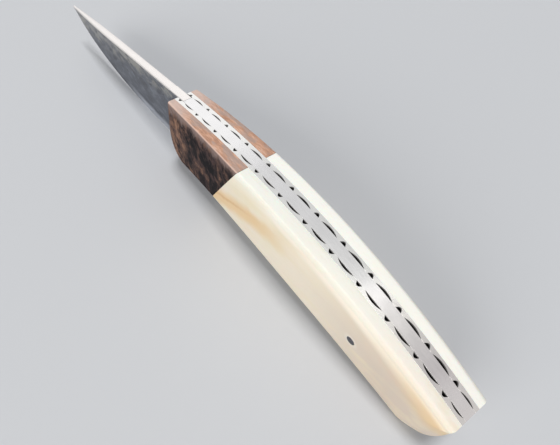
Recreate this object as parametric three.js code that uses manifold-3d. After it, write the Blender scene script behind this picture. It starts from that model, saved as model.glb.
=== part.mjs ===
// Folding pocket knife with a slip joint, shown open and standing spine up.
//
// Millimetres. The knife is drawn in its own frame: the origin lies on the spine at the front
// end of the handle, +X runs forward along the blade's spine, +Y is the left side, +Z is up.
// Side outlines are 2D points (x, z). The last lines turn the whole knife about Y until the
// blade's edge and the handle's lower rear corner lie level, and put the origin under its middle.

import * as THREE from 'three';
import { mergeVertices } from 'three/addons/utils/BufferGeometryUtils.js';
import Module from 'manifold-3d';

const wasm = await Module();
wasm.setup();

// Handle outline
const HANDLE_LENGTH = 115.2; // along X, from the front of the spine to the top of the butt
const SPINE_DROP = 24.4; // how far the arched spine falls by the butt
const SPINE_EARLY_SHARE = 0.59; // part of that fall that follows a plain parabola
const FRONT_HEIGHT = 22.5; // spine to belly behind the front end
const FRONT_SLANT = 5.7; // how far the front end is pulled forward in its upper half
const FRONT_SLANT_SHARE = 0.47; // depth of that pull, in the front height
const NOSE_REACH = 13.0; // pull of the rounded lower front corner
const FRONT_ROUND = 5.0; // where that corner meets the belly, behind the front
const BELLY_FLAT_RUN = 19.0; // level pull of the belly behind the front corner
const BELLY_REAR_RUN = 33.0; // sloping pull of the belly ahead of the rear corner
const BELLY_REAR_SLOPE = THREE.MathUtils.degToRad(15);
const BUTT_SETBACK = 12.6; // lower rear corner, ahead of the top of the butt
const BUTT_HEIGHT = 14.2; // lower rear corner, below the top of the butt
const BUTT_LEAN = THREE.MathUtils.degToRad(15.8);
const BUTT_STRAIGHT = 6.1; // pull of the butt's straight upper end
const BUTT_ROUND = 10.1; // pull of the butt's rounded lower end

// Layers, from the middle plane outwards
const SPRING_THICKNESS = 3.2;
const LINER_THICKNESS = 1.3;
const HALF_THICKNESS_FRONT = 6.6; // middle plane to the flat of the side, at the front
const HALF_THICKNESS_REAR = 7.6; // the same at the butt
const RIDGE_HALF_FRONT = 5.5; // middle plane to the ridge beside the spine, at the front
const RIDGE_HALF_REAR = 6.1; // the same at the butt
const RIDGE_SWELL = 1.15; // how much farther out the ridge lies halfway between them
const RIDGE_ROUND = 0.8; // radius of the rounding on that ridge
const CROWN_WIDTH = 5.5; // outline to the flat of the side

// Joint between bolster and scale
const JOINT_TOP = 41.1; // behind the front, at the level of the spine's front end
const JOINT_SLANT = THREE.MathUtils.degToRad(42.5); // the joint comes forward as it goes down
const GLUE_LINE = 0.08;

// Filework along the inner top edges of the liners
const NOTCH_PITCH = 9.98; // along the spine
const NOTCH_START = 1.8; // first notch, behind the front
const NOTCH_END = 6.8; // least room from the last notch to the butt
const NOTCH_RADIUS = 0.95;
const CRESCENT_LENGTH = 5.8;
const CRESCENT_SAG = 0.6;
const TAIL_LENGTH = 4.8; // the last crescent, which ends just ahead of the butt
const TAIL_SAG = 0.5;
const TAIL_END = 0.8; // that crescent's end, ahead of the butt
const FILEWORK_DEPTH = 1.6; // down from the spine
const FILEWORK_START = 0.4; // the cutters begin this far inside the liner's inner face

// Blade
const BLADE_LENGTH = 93.6; // in front of the handle
const BLADE_THICKNESS = 3.0;
const BLADE_HEEL = 9.0; // heel of the edge, in front of the handle
const BLADE_HEIGHT = 23.2; // at the heel
const EDGE_STRAIGHT = 45.0; // nearly straight pull of the edge from the heel
const EDGE_TIP_RUN = 5.0; // pull of the edge up to the tip
const EDGE_TIP_DEPTH = 12.4; // depth of that pull, below the blade's spine
const TAPER_START = 52.0; // the spine gets thinner from here on
const TAPER_POWER = 2.0; // how late in that taper most of it happens
const TIP_THICKNESS = 0.9;
const TIP_HEIGHT = 0.6;
const BEVEL_HEIGHT = 1.9; // polished bevel along the edge, at the heel
const BEVEL_TIP_HEIGHT = 0.5; // it gets this narrow towards the tip
const BEVEL_NARROWS = 50.0; // over this much of the blade from the heel on
const BEVEL_LEAST_SHARE = 0.5; // and leaves this share of the height to the flats
const BEVEL_SHOULDER = 0.5; // thickness at the top of that bevel, at the heel
const BEVEL_TIP_SHOULDER = 0.25; // the same towards the tip
const EDGE_THICKNESS = 0.06;
const PLUNGE_TOP = 6.5; // where the grind starts, at the spine
const PLUNGE_LOW = 2.5; // where it starts lower down
const PLUNGE_RUN = 3.5;
const PLUNGE_DEPTH_SHARE = 0.4; // share of the height over which the plunge line curves back

// Tang and slip joint
const PIVOT_SETBACK = 8.5; // pivot behind the front
const PIVOT_DEPTH = 13.5; // pivot below the spine
const CLOSED_ANGLE = THREE.MathUtils.degToRad(174); // turn of the blade from open to closed
const TANG_END = THREE.MathUtils.degToRad(33); // how far the tang's round end runs past its last flat
const TANG_OVERLAP = 3.0; // the tang's plate reaches to this far behind the heel
const TANG_CORNER_RADIUS = 9.9; // rounded corners of the tang, about the pivot
const SHOULDER_SETBACK = 3.0; // step where the spring's nose meets the blade
const KICK = { x: 2.0, z: -21.4 }; // lowest point ahead of the tang
const CHOIL = { x: 6.0, z: -20.6 };
const CHOIL_SAG = 0.2; // depth of the hollow between kick and choil

// Backspring
const SPRING_NOSE_DEPTH = 5.0;
const SPRING_FRONT_DEPTH = 4.0; // just behind the tang
const SPRING_MIDDLE_DEPTH = 4.7; // at the centre pin
const SPRING_REAR_DEPTH = 8.0; // at the rear pin
const SPRING_REAR_SHARE = 0.45; // how far down the butt the spring reaches
const SPRING_SWELL_START = 9.0; // it gets deeper from this far ahead of the rear pin
const SPRING_GAP = 0.1; // between the spring and the blade

// Pins
const PIVOT_RADIUS = 2.0;
const WASHER_RADIUS = 4.6;
const WASHER_THICKNESS = 0.35;
const WASHER_PROUD = 0.08; // above the liner's inner face
const SPRING_PIN_RADIUS = 1.0;
const CENTER_PIN_SETBACK = 52.0;
const CENTER_PIN_DEPTH = 2.8;
const REAR_PIN_INSET = 11.0; // ahead of the butt's top, along X
const REAR_PIN_DEPTH = 4.0;
const SCALE_PIN_RADIUS = 1.3;
const SCALE_PIN_INSET = 29.8; // ahead of the butt's top, along X
const SCALE_PIN_DEPTH = 12.7; // below the spine
const SCALE_PIN_PROUD = 0.05;
const BOLSTER_PIN_RADIUS = 0.8;
const BOLSTER_PIN_LENGTH = 2.9;
const PIN_SETBACK = 0.15; // side pins stop this far short of the blade's slot
const BOLSTER_PINS = { front: { x: 0.5, z: -8.5 }, rear: { x: -24.0, z: -9.0 } };
const PIN_CLEARANCE = 0.04; // all round a pin in its hole
const BLIND_CLEARANCE = 0.1; // past the end of a blind pin

// Steps of the curved surfaces
const SPINE_STEPS = 44;
const BELLY_STEPS = 32;
const END_STEPS = 14;
const ROUND_STEPS = 3;
const CROWN_STEPS = 5;
const BLADE_STEPS = 30;
const BLADE_ROWS = 6;
const HEEL_STEPS = 6;
const TANG_STEPS = 26;
const BITE_STEPS = 8;
const BUTT_STEPS = 3;
const UNDERSIDE_STEPS = 30;

// Values that follow from the sizes above
const SPRING_HALF = SPRING_THICKNESS / 2;
const LINER_OUTER = SPRING_HALF + LINER_THICKNESS;
const BLADE_HALF = BLADE_THICKNESS / 2;
const PIVOT = { x: -PIVOT_SETBACK, z: -PIVOT_DEPTH };
const TANG_FLAT = PIVOT_DEPTH - SPRING_NOSE_DEPTH - SPRING_GAP;
const SPRING_NOSE_X = -SHOULDER_SETBACK - SPRING_GAP;

const LOOKS = {
  blade: { color: 0x666970, roughness: 0.5, metalness: 0.9 },
  spring: { color: 0xc8c6c4, roughness: 0.38, metalness: 1.0 },
  liner: { color: 0xcdc9c4, roughness: 0.35, metalness: 1.0 },
  wood: { color: 0x5c4234, roughness: 0.42, metalness: 0.0 },
  ivory: { color: 0xf0e6d2, roughness: 0.3, metalness: 0.0 },
  pin: { color: 0x55565a, roughness: 0.4, metalness: 1.0 },
  bronze: { color: 0xb08a4c, roughness: 0.35, metalness: 1.0 },
};

// Solids

// The view in which a flat ring shows its full shape, as two of its three coordinates.
function flatView(ring) {
  const normal = new THREE.Vector3();
  ring.forEach((point, i) => {
    normal.add(new THREE.Vector3().crossVectors(point, ring[(i + 1) % ring.length]));
  });
  const [x, y, z] = normal.toArray().map(Math.abs);
  if (x >= y && x >= z) return ring.map((p) => new THREE.Vector2(p.y, p.z));
  if (y >= z) return ring.map((p) => new THREE.Vector2(p.x, p.z));
  return ring.map((p) => new THREE.Vector2(p.x, p.y));
}

// The triangles that fill a ring, in the ring's own turning sense or in the opposite one.
function capFaces(ring, withRing) {
  const view = flatView(ring);
  const faces = THREE.ShapeUtils.triangulateShape(view, []);
  const areas = faces.map((face) => THREE.ShapeUtils.area(face.map((i) => view[i])));
  const facesArea = areas.reduce((sum, area) => sum + area);
  const sameSense = facesArea * THREE.ShapeUtils.area(view) > 0;
  return faces.map(([a, b, c]) => (sameSense === withRing ? [a, b, c] : [a, c, b]));
}

function closedLoft(rings) {
  const size = rings[0].length;
  const index = [];
  for (let r = 0; r + 1 < rings.length; r++) {
    for (let i = 0; i < size; i++) {
      const a = r * size + i;
      const b = r * size + ((i + 1) % size);
      index.push(a, b, a + size, b, b + size, a + size);
    }
  }
  const last = rings.length - 1;
  index.push(...capFaces(rings[0], false).flat());
  index.push(...capFaces(rings[last], true).flat().map((i) => i + last * size));
  const geometry = new THREE.BufferGeometry();
  const positions = rings.flat().flatMap((p) => [p.x, p.y, p.z]);
  geometry.setAttribute('position', new THREE.Float32BufferAttribute(positions, 3));
  geometry.setIndex(index);
  return facingOut(geometry);
}

function signedVolume(geometry) {
  const position = geometry.getAttribute('position');
  const corners = [0, 1, 2].map(() => new THREE.Vector3());
  let sum = 0;
  for (let i = 0; i < geometry.index.count; i += 3) {
    corners.forEach((corner, k) => corner.fromBufferAttribute(position, geometry.index.getX(i + k)));
    sum += corners[0].dot(corners[1].cross(corners[2]));
  }
  return sum / 6;
}

function flipped(geometry) {
  const index = Array.from(geometry.index.array);
  for (let i = 0; i < index.length; i += 3) {
    [index[i + 1], index[i + 2]] = [index[i + 2], index[i + 1]];
  }
  geometry.setIndex(index);
  return geometry;
}

function facingOut(geometry) {
  return signedVolume(geometry) < 0 ? flipped(geometry) : geometry;
}

function mirrored(geometry) {
  const copy = geometry.clone();
  copy.scale(1, -1, 1);
  return flipped(copy);
}

function bareGeometry(geometry) {
  const bare = geometry.clone();
  bare.deleteAttribute('normal');
  bare.deleteAttribute('uv');
  return bare;
}

function toSolid(geometry) {
  const merged = mergeVertices(bareGeometry(geometry), 1e-5);
  return new wasm.Manifold(new wasm.Mesh({
    numProp: 3,
    vertProperties: new Float32Array(merged.getAttribute('position').array),
    triVerts: new Uint32Array(merged.index.array),
  }));
}

function toGeometry(solid) {
  const mesh = solid.getMesh();
  const geometry = new THREE.BufferGeometry();
  geometry.setAttribute('position', new THREE.Float32BufferAttribute(mesh.vertProperties, 3));
  geometry.setIndex(Array.from(mesh.triVerts));
  return geometry;
}

function cut(geometry, cutters) {
  let solid = toSolid(geometry);
  for (const cutter of cutters) solid = solid.subtract(toSolid(cutter));
  return toGeometry(solid);
}

function plate(outline, yLow, yHigh) {
  const ring = (y) => outline.map((p) => new THREE.Vector3(p.x, y, p.z));
  return closedLoft([ring(yLow), ring(yHigh)]);
}

function disc(radius, length, segments) {
  return new THREE.CylinderGeometry(radius, radius, length, segments);
}

function bore(center, radius, yLow, yHigh, segments) {
  return disc(radius, yHigh - yLow, segments).translate(center.x, (yLow + yHigh) / 2, center.z);
}

// Outline of the handle

class SpineCurve extends THREE.Curve {
  getPoint(t, target = new THREE.Vector2()) {
    const fall = SPINE_EARLY_SHARE * t ** 2 + (1 - SPINE_EARLY_SHARE) * t ** 3;
    return target.set(-HANDLE_LENGTH * t, -SPINE_DROP * fall);
  }
}

const spine = new SpineCurve();
const bellyFront = new THREE.Vector2(-FRONT_ROUND, -FRONT_HEIGHT);
const bellyRear = new THREE.Vector2(-HANDLE_LENGTH + BUTT_SETBACK, -SPINE_DROP - BUTT_HEIGHT);
const rearwards = new THREE.Vector2(-Math.cos(BELLY_REAR_SLOPE), -Math.sin(BELLY_REAR_SLOPE));

const frontEnd = new THREE.CubicBezierCurve(
  new THREE.Vector2(0, 0),
  new THREE.Vector2(FRONT_SLANT, -FRONT_HEIGHT * FRONT_SLANT_SHARE),
  new THREE.Vector2(NOSE_REACH, -FRONT_HEIGHT),
  bellyFront,
);
const belly = new THREE.CubicBezierCurve(
  bellyFront,
  new THREE.Vector2(bellyFront.x - BELLY_FLAT_RUN, bellyFront.y),
  bellyRear.clone().addScaledVector(rearwards, -BELLY_REAR_RUN),
  bellyRear,
);
const downButt = new THREE.Vector2(Math.sin(BUTT_LEAN), -Math.cos(BUTT_LEAN));
const butt = new THREE.CubicBezierCurve(
  spine.getPoint(1),
  spine.getPoint(1).addScaledVector(downButt, BUTT_STRAIGHT),
  bellyRear.clone().addScaledVector(rearwards, BUTT_ROUND),
  bellyRear,
);

function spineHeight(x) {
  return spine.getPoint(THREE.MathUtils.clamp(-x / HANDLE_LENGTH, 0, 1)).y;
}

// A patch stretched between the four edges: u runs from front to butt, v from spine to belly.
function handlePoint(u, v) {
  const point = new THREE.Vector2();
  point.addScaledVector(spine.getPoint(u), 1 - v).addScaledVector(belly.getPoint(u), v);
  point.addScaledVector(frontEnd.getPoint(v), 1 - u).addScaledVector(butt.getPoint(v), u);
  point.addScaledVector(frontEnd.getPoint(0), -(1 - u) * (1 - v));
  point.addScaledVector(frontEnd.getPoint(1), -(1 - u) * v);
  point.addScaledVector(butt.getPoint(0), -u * (1 - v));
  point.addScaledVector(butt.getPoint(1), -u * v);
  return { x: point.x, z: point.y };
}

function handleOutline(inset = 0) {
  const du = inset / HANDLE_LENGTH;
  const dv = inset / FRONT_HEIGHT;
  const inner = (u, v) => handlePoint(du + u * (1 - 2 * du), dv + v * (1 - 2 * dv));
  const points = [];
  for (let i = 0; i < SPINE_STEPS; i++) points.push(inner(i / SPINE_STEPS, 0));
  for (let i = 0; i < END_STEPS; i++) points.push(inner(1, i / END_STEPS));
  for (let i = 0; i < BELLY_STEPS; i++) points.push(inner(1 - i / BELLY_STEPS, 1));
  for (let i = 0; i < END_STEPS; i++) points.push(inner(0, 1 - i / END_STEPS));
  return points;
}

// Middle plane to the flat of the side
function halfThickness(x) {
  return THREE.MathUtils.lerp(HALF_THICKNESS_FRONT, HALF_THICKNESS_REAR, -x / HANDLE_LENGTH);
}

// Middle plane to the ridge: the handle is widest near its middle
function ridgeHalf(x) {
  const share = -x / HANDLE_LENGTH;
  const swell = 4 * RIDGE_SWELL * share * (1 - share);
  return THREE.MathUtils.lerp(RIDGE_HALF_FRONT, RIDGE_HALF_REAR, share) + swell;
}

// Sides of the handle

// The whole left side outside its liner: square walls, a rounded ridge, a crown, a flat.
function sideBody() {
  const ring = (inset, halfWidth) => (
    handleOutline(inset).map((p) => new THREE.Vector3(p.x, halfWidth(p.x), p.z)));
  const rings = [ring(0, () => LINER_OUTER)];
  for (let i = 0; i < ROUND_STEPS; i++) {
    const angle = ((Math.PI / 2) * i) / ROUND_STEPS;
    const inset = RIDGE_ROUND * (1 - Math.cos(angle));
    rings.push(ring(inset, (x) => ridgeHalf(x) - RIDGE_ROUND * (1 - Math.sin(angle))));
  }
  for (let i = 0; i <= CROWN_STEPS; i++) {
    const along = i / CROWN_STEPS;
    const rise = 1 - (1 - along) ** 2;
    const inset = THREE.MathUtils.lerp(RIDGE_ROUND, CROWN_WIDTH, along);
    rings.push(ring(inset, (x) => THREE.MathUtils.lerp(ridgeHalf(x), halfThickness(x), rise)));
  }
  return closedLoft(rings);
}

// A block that covers everything ahead of the slanted joint, or everything behind it.
function jointBlock(ahead) {
  const reach = 2 * HANDLE_LENGTH;
  const slope = Math.tan(JOINT_SLANT);
  const shift = (ahead ? 1 : -1) * (GLUE_LINE / 2) / Math.cos(JOINT_SLANT);
  const jointX = (z) => -JOINT_TOP - slope * z + shift;
  const far = ahead ? reach : -reach;
  const high = FRONT_HEIGHT;
  const low = -reach / 2;
  const outline = [
    { x: jointX(high), z: high },
    { x: jointX(low), z: low },
    { x: far, z: low },
    { x: far, z: high },
  ];
  return plate(outline, 0, 2 * HALF_THICKNESS_REAR);
}

function sidePiece(ahead, holes) {
  const piece = toSolid(sideBody()).intersect(toSolid(jointBlock(ahead)));
  return cut(toGeometry(piece), holes);
}

const scalePin = { x: -HANDLE_LENGTH + SCALE_PIN_INSET };
scalePin.z = spineHeight(scalePin.x) - SCALE_PIN_DEPTH;
const centerPin = { x: -CENTER_PIN_SETBACK };
centerPin.z = spineHeight(centerPin.x) - CENTER_PIN_DEPTH;
const rearPin = { x: -HANDLE_LENGTH + REAR_PIN_INSET };
rearPin.z = spineHeight(rearPin.x) - REAR_PIN_DEPTH;
const PIN_INNER_END = SPRING_HALF + PIN_SETBACK;

function bolsterGeometry() {
  const end = PIN_INNER_END + BOLSTER_PIN_LENGTH + BLIND_CLEARANCE;
  const holes = Object.values(BOLSTER_PINS).map((pin) => (
    bore(pin, BOLSTER_PIN_RADIUS + PIN_CLEARANCE, LINER_OUTER - 1, end, 16)));
  return sidePiece(true, holes);
}

function scaleGeometry() {
  const hole = bore(scalePin, SCALE_PIN_RADIUS + PIN_CLEARANCE, 0, 2 * HALF_THICKNESS_REAR, 20);
  return sidePiece(false, [hole]);
}

// Liners and their filework

// A cutter that follows the spine: its outline is (along the spine, across), its walls stand
// square to the spine.
function spineCutter(distance, outline) {
  const t = distance / spine.getLength();
  const at = spine.getPointAt(t);
  const back = spine.getTangentAt(t);
  const place = (p, height) => new THREE.Vector3(
    at.x - back.x * p.along + back.y * height,
    p.across,
    at.y - back.y * p.along - back.x * height,
  );
  return closedLoft([-FILEWORK_DEPTH, 1].map((height) => outline.map((p) => place(p, height))));
}

// An arc that bites into the liner from its inner face.
function biteOutline(halfLength, sag) {
  const radius = (halfLength ** 2 + sag ** 2) / (2 * sag);
  const halfAngle = Math.asin(Math.min(1, halfLength / radius));
  const inner = SPRING_HALF - FILEWORK_START;
  const deepest = SPRING_HALF + sag;
  const points = [{ along: halfLength, across: inner }, { along: -halfLength, across: inner }];
  for (let i = 0; i <= BITE_STEPS; i++) {
    const angle = -halfAngle + (2 * halfAngle * i) / BITE_STEPS;
    points.push({ along: radius * Math.sin(angle), across: deepest - radius * (1 - Math.cos(angle)) });
  }
  return points;
}

// Round notches one pitch apart, a long shallow crescent midway between two of them, and a
// shorter crescent behind the last notch.
function fileworkCutters() {
  const notch = biteOutline(NOTCH_RADIUS, NOTCH_RADIUS);
  const crescent = biteOutline(CRESCENT_LENGTH / 2, CRESCENT_SAG);
  const length = spine.getLength();
  const last = length - NOTCH_END;
  const tail = biteOutline(TAIL_LENGTH / 2, TAIL_SAG);
  const cutters = [spineCutter(length - TAIL_END - TAIL_LENGTH / 2, tail)];
  for (let distance = NOTCH_START; distance <= last; distance += NOTCH_PITCH) {
    cutters.push(spineCutter(distance, notch));
    if (distance + NOTCH_PITCH <= last) cutters.push(spineCutter(distance + NOTCH_PITCH / 2, crescent));
  }
  return cutters;
}

function linerGeometry() {
  const through = (pin, radius, segments) => (
    bore(pin, radius + PIN_CLEARANCE, SPRING_HALF - 1, LINER_OUTER + 1, segments));
  const washerSeat = bore(PIVOT, WASHER_RADIUS + PIN_CLEARANCE, SPRING_HALF - 1,
    SPRING_HALF - WASHER_PROUD + WASHER_THICKNESS + PIN_CLEARANCE, 32);
  const holes = [
    washerSeat,
    through(PIVOT, PIVOT_RADIUS, 24),
    through(centerPin, SPRING_PIN_RADIUS, 16),
    through(rearPin, SPRING_PIN_RADIUS, 16),
    through(scalePin, SCALE_PIN_RADIUS, 20),
    ...Object.values(BOLSTER_PINS).map((pin) => through(pin, BOLSTER_PIN_RADIUS, 16)),
  ];
  return cut(plate(handleOutline(), SPRING_HALF, LINER_OUTER), [...holes, ...fileworkCutters()]);
}

// Backspring

function springGeometry() {
  const outline = [];
  const noseShare = -SPRING_NOSE_X / HANDLE_LENGTH;
  for (let i = 0; i <= SPINE_STEPS; i++) {
    outline.push(spine.getPoint(THREE.MathUtils.lerp(noseShare, 1, i / SPINE_STEPS)));
  }
  for (let i = 1; i <= BUTT_STEPS; i++) {
    outline.push(butt.getPoint((SPRING_REAR_SHARE * i) / BUTT_STEPS));
  }
  const below = (x, depth) => new THREE.Vector2(x, spineHeight(x) - depth);
  const flatEnd = PIVOT.x - TANG_CORNER_RADIUS;
  const underside = new THREE.SplineCurve([
    outline.at(-1),
    below(rearPin.x - SPRING_PIN_RADIUS, SPRING_REAR_DEPTH),
    below(rearPin.x + SPRING_SWELL_START, SPRING_MIDDLE_DEPTH + SPRING_PIN_RADIUS),
    below((rearPin.x + centerPin.x) / 2, SPRING_MIDDLE_DEPTH),
    below(centerPin.x, SPRING_MIDDLE_DEPTH),
    below((centerPin.x + flatEnd) / 2, SPRING_FRONT_DEPTH),
    new THREE.Vector2(flatEnd, -SPRING_NOSE_DEPTH),
  ]);
  outline.push(...underside.getPoints(UNDERSIDE_STEPS).slice(1));
  outline.push(new THREE.Vector2(SPRING_NOSE_X, -SPRING_NOSE_DEPTH));
  const holes = [centerPin, rearPin].map((pin) => (
    bore(pin, SPRING_PIN_RADIUS + PIN_CLEARANCE, -SPRING_THICKNESS, SPRING_THICKNESS, 16)));
  return cut(plate(outline.map((p) => ({ x: p.x, z: p.y })), -SPRING_HALF, SPRING_HALF), holes);
}

// Blade

// The tang's outline about the pivot: three flats for open, half open and closed, rounded off.
function tangRadius(angle) {
  const flats = [0, CLOSED_ANGLE / 2, CLOSED_ANGLE].map((turn) => Math.PI / 2 + turn);
  const reach = flats.map((normal) => {
    const cosine = Math.cos(angle - normal);
    return cosine > 0.1 ? TANG_FLAT / cosine : Infinity;
  });
  return Math.min(TANG_CORNER_RADIUS, ...reach);
}

function tangOutline() {
  const shoulder = { x: -SHOULDER_SETBACK, z: PIVOT.z + TANG_FLAT };
  const startAngle = Math.atan2(TANG_FLAT, shoulder.x - PIVOT.x);
  const endAngle = Math.PI / 2 + CLOSED_ANGLE + TANG_END;
  const front = BLADE_HEEL - TANG_OVERLAP;
  const points = [{ x: front, z: 0 }, { x: shoulder.x, z: 0 }];
  for (let i = 0; i <= TANG_STEPS; i++) {
    const angle = startAngle + ((endAngle - startAngle) * i) / TANG_STEPS;
    const radius = tangRadius(angle);
    points.push({ x: PIVOT.x + radius * Math.cos(angle), z: PIVOT.z + radius * Math.sin(angle) });
  }
  points.push(KICK, { x: (KICK.x + CHOIL.x) / 2, z: CHOIL.z - CHOIL_SAG });
  points.push({ x: front, z: CHOIL.z });
  return points;
}

const edgeCurve = new THREE.CubicBezierCurve(
  new THREE.Vector2(BLADE_HEEL, -BLADE_HEIGHT),
  new THREE.Vector2(BLADE_HEEL + EDGE_STRAIGHT, -BLADE_HEIGHT),
  new THREE.Vector2(BLADE_LENGTH - EDGE_TIP_RUN, -EDGE_TIP_DEPTH),
  new THREE.Vector2(BLADE_LENGTH, -TIP_HEIGHT),
);

function spineHalf(x) {
  const share = Math.max(0, (x - TAPER_START) / (BLADE_LENGTH - TAPER_START));
  return BLADE_HALF + (TIP_THICKNESS / 2 - BLADE_HALF) * share ** TAPER_POWER;
}

// How much of the grind is reached at a place on the blade, 0 on the ricasso and 1 past it.
function grindShare(x, heightShare) {
  const curve = Math.min(1, heightShare / PLUNGE_DEPTH_SHARE);
  const start = PLUNGE_TOP + (PLUNGE_LOW - PLUNGE_TOP) * curve;
  return THREE.MathUtils.smoothstep(x, start, start + PLUNGE_RUN);
}

function bladeSection(x, low) {
  const height = -low;
  const narrowing = THREE.MathUtils.clamp((x - BLADE_HEEL) / BEVEL_NARROWS, 0, 1);
  const bevel = THREE.MathUtils.lerp(BEVEL_HEIGHT, BEVEL_TIP_HEIGHT, narrowing);
  const bevelTop = Math.max(height - bevel, height * BEVEL_LEAST_SHARE);
  const shoulder = THREE.MathUtils.lerp(BEVEL_SHOULDER, BEVEL_TIP_SHOULDER, narrowing) / 2;
  const side = [];
  for (let i = 0; i <= BLADE_ROWS; i++) {
    const share = i / BLADE_ROWS;
    const ground = spineHalf(x) + (shoulder - spineHalf(x)) * share;
    const grind = grindShare(x, share);
    side.push({ y: spineHalf(x) + (ground - spineHalf(x)) * grind, z: -bevelTop * share });
  }
  const edge = BLADE_HALF + (EDGE_THICKNESS / 2 - BLADE_HALF) * grindShare(x, 1);
  side.push({ y: Math.min(edge, spineHalf(x)), z: low });
  const left = side.map((p) => new THREE.Vector3(x, p.y, p.z));
  const right = side.map((p) => new THREE.Vector3(x, -p.y, p.z)).reverse();
  return [...left, ...right];
}

function bladeGeometry() {
  const rings = [bladeSection(0, CHOIL.z)];
  for (let i = 0; i < HEEL_STEPS; i++) {
    const x = THREE.MathUtils.lerp(PLUNGE_LOW, BLADE_HEEL, i / HEEL_STEPS);
    const drop = THREE.MathUtils.smoothstep(x, CHOIL.x, BLADE_HEEL);
    rings.push(bladeSection(x, THREE.MathUtils.lerp(CHOIL.z, -BLADE_HEIGHT, drop)));
  }
  for (const point of edgeCurve.getPoints(BLADE_STEPS)) rings.push(bladeSection(point.x, point.y));
  const ground = toSolid(closedLoft(rings));
  const tang = toSolid(plate(tangOutline(), -BLADE_HALF, BLADE_HALF));
  const pivotHole = bore(PIVOT, PIVOT_RADIUS + PIN_CLEARANCE, -BLADE_THICKNESS, BLADE_THICKNESS, 24);
  return cut(toGeometry(ground.add(tang)), [pivotHole]);
}

// Pins and washers

function washerGeometry() {
  const ring = [
    new THREE.Vector2(PIVOT_RADIUS + PIN_CLEARANCE, 0),
    new THREE.Vector2(WASHER_RADIUS, 0),
    new THREE.Vector2(WASHER_RADIUS, WASHER_THICKNESS),
    new THREE.Vector2(PIVOT_RADIUS + PIN_CLEARANCE, WASHER_THICKNESS),
    new THREE.Vector2(PIVOT_RADIUS + PIN_CLEARANCE, 0),
  ];
  return facingOut(mergeVertices(bareGeometry(new THREE.LatheGeometry(ring, 24))));
}

// Assembly

function named(name, geometry, look, x = 0, y = 0, z = 0) {
  const material = new THREE.MeshStandardMaterial({ ...LOOKS[look], flatShading: true });
  const mesh = new THREE.Mesh(geometry, material);
  mesh.name = name;
  mesh.position.set(x, y, z);
  return mesh;
}

function middlePin(name, radius, at, segments) {
  return named(name, disc(radius, 2 * LINER_OUTER, segments), 'pin', at.x, 0, at.z);
}

function sidePin(name, side, radius, at, outerEnd, segments) {
  const length = outerEnd - PIN_INNER_END;
  const middle = side * (PIN_INNER_END + length / 2);
  return named(name, disc(radius, length, segments), 'pin', at.x, middle, at.z);
}

function middleLayer() {
  const layer = new THREE.Group();
  layer.add(named('backspring', springGeometry(), 'spring'));
  layer.add(middlePin('pivot_pin', PIVOT_RADIUS, PIVOT, 24));
  layer.add(middlePin('spring_center_pin', SPRING_PIN_RADIUS, centerPin, 16));
  layer.add(middlePin('spring_rear_pin', SPRING_PIN_RADIUS, rearPin, 16));
  return layer;
}

function handleSides() {
  const onSide = { left: (geometry) => geometry, right: mirrored };
  const liner = linerGeometry();
  const bolster = bolsterGeometry();
  const scale = scaleGeometry();
  const layer = new THREE.Group();
  for (const [side, place] of Object.entries(onSide)) {
    const sign = side === 'left' ? 1 : -1;
    const washerInner = SPRING_HALF - WASHER_PROUD;
    const washerY = side === 'left' ? washerInner : -washerInner - WASHER_THICKNESS;
    layer.add(named(`liner_${side}`, place(liner), 'liner'));
    layer.add(named(`bolster_${side}`, place(bolster), 'wood'));
    layer.add(named(`scale_${side}`, place(scale), 'ivory'));
    layer.add(named(`pivot_washer_${side}`, washerGeometry(), 'bronze', PIVOT.x, washerY, PIVOT.z));
    const face = halfThickness(scalePin.x) + SCALE_PIN_PROUD;
    layer.add(sidePin(`scale_pin_${side}`, sign, SCALE_PIN_RADIUS, scalePin, face, 20));
    for (const [end, at] of Object.entries(BOLSTER_PINS)) {
      const outerEnd = PIN_INNER_END + BOLSTER_PIN_LENGTH;
      layer.add(sidePin(`bolster_pin_${side}_${end}`, sign, BOLSTER_PIN_RADIUS, at, outerEnd, 16));
    }
  }
  return layer;
}

// The blade turns in a group of its own, whose origin is the pivot.
function bladeLayer() {
  const layer = new THREE.Group();
  layer.position.set(PIVOT.x, 0, PIVOT.z);
  layer.add(named('blade', bladeGeometry().translate(-PIVOT.x, 0, -PIVOT.z), 'blade'));
  return layer;
}

// The turn that brings the handle's lower rear corner and the blade's edge to one level.
function standingAngle() {
  const rearPoints = [...belly.getPoints(BELLY_STEPS), ...butt.getPoints(END_STEPS)];
  const edgePoints = edgeCurve.getPoints(BLADE_STEPS);
  const lowest = (rear) => Math.min(...edgePoints.map((p) => Math.atan2(p.y - rear.y, p.x - rear.x)));
  return Math.max(...rearPoints.map(lowest));
}

const knife = new THREE.Group();
knife.add(bladeLayer(), middleLayer(), handleSides());
knife.rotation.y = standingAngle();

const standing = new THREE.Group();
standing.add(knife);
standing.updateMatrixWorld(true);
const box = new THREE.Box3().setFromObject(standing, true);
standing.position.set(-(box.min.x + box.max.x) / 2, 0, -box.min.z);
standing.updateMatrixWorld(true);

export default standing;
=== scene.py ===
import math

import bmesh
import bpy
import numpy as np
from mathutils import Matrix, Vector


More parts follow.
